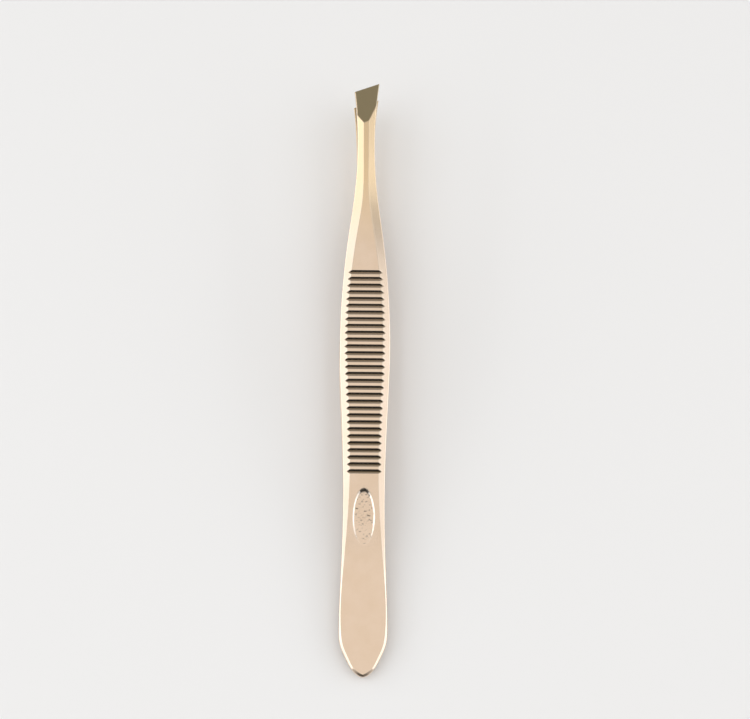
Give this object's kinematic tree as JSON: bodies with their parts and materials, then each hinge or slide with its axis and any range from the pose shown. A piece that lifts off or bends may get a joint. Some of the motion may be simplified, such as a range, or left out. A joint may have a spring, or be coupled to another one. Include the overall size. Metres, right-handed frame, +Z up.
{
  "type": "slant tweezers",
  "caption": "Slant-tip tweezers: bowed spring leaves with bevelled flanks and cross-grooved grips, welded at a pointed heel, whose arms squeeze together at the tips.",
  "frame": {"origin": "centre of the bounding box's base, on the surface that the lower leaf lies on", "axes": "+Y from the heel towards the tips, +X across the leaves towards the longer corner of the slant, +Z up from the lower leaf to the upper leaf"},
  "size_m": [0.008, 0.0951, 0.0141],
  "materials": {
    "plated_steel": "satin champagne-gold plating on stainless steel",
    "weld_metal": "bare fused steel, hidden between the leaves"
  },
  "bodies": {
    "heel": {"upper_leaf_heel": "plated_steel", "lower_leaf_heel": "plated_steel", "weld_nuggets": "weld_metal"},
    "upper_arm": {"upper_leaf_arm": "plated_steel"},
    "lower_arm": {"lower_leaf_arm": "plated_steel"}
  },
  "joints": [
    {"name": "upper_arm_squeeze", "type": "hinge", "parent": "heel", "child": "upper_arm", "pos_m": [0, -0.03058, 0.00312], "axis": [-1, 0, 0], "range_deg": [0, 3.19], "stiffness_Nm_per_rad": 3},
    {"name": "lower_arm_squeeze", "type": "hinge", "parent": "heel", "child": "lower_arm", "pos_m": [0, -0.03049, 0.00195], "axis": [1, 0, 0], "range_deg": [0, 3.19], "stiffness_Nm_per_rad": 3}
  ],
  "couplings": [
    {"joint": "lower_arm_squeeze", "follows": "upper_arm_squeeze", "ratio": 1}
  ]
}
